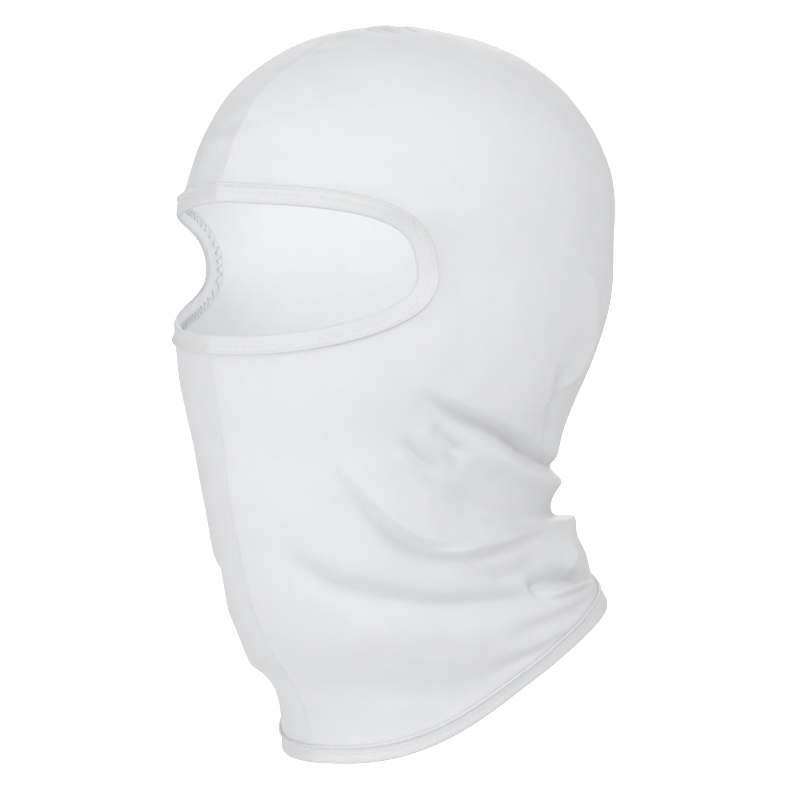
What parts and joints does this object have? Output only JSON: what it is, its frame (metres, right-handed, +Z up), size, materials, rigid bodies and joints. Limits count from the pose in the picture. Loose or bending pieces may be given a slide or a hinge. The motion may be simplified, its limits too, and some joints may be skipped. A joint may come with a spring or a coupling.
{
  "type": "balaclava",
  "caption": "Close-fitting stretch balaclava in its worn shape, with one wide bound eye opening, a centre seam and a slanted bound neck hem.",
  "frame": {"origin": "centre of the head that fills the hood, on the middle plane, 110 mm below the crown", "axes": "+Z up, -Y the way the face looks, +X to the wearer's left"},
  "size_m": [0.1556, 0.2036, 0.3],
  "materials": {
    "hood_fabric": "smooth white stretch knit, slightly lustrous",
    "binding_fabric": "the same white knit, folded",
    "sewing_thread": "white polyester thread",
    "elastic": "matt off-white",
    "label_satin": "blank white satin tape"
  },
  "bodies": {
    "root": {"left_side_panel": "hood_fabric", "right_side_panel": "hood_fabric", "eye_opening_binding": "binding_fabric", "eye_opening_needle_thread_inner": "sewing_thread", "eye_opening_needle_thread_outer": "sewing_thread", "eye_opening_looper_thread": "sewing_thread", "neck_hem_binding": "binding_fabric", "neck_hem_needle_thread_inner": "sewing_thread", "neck_hem_needle_thread_outer": "sewing_thread", "neck_hem_looper_thread": "sewing_thread", "eye_opening_elastic": "elastic", "crown_and_back_seam_overlock": "sewing_thread", "chin_seam_overlock": "sewing_thread", "care_label": "label_satin"}
  },
  "joints": []
}
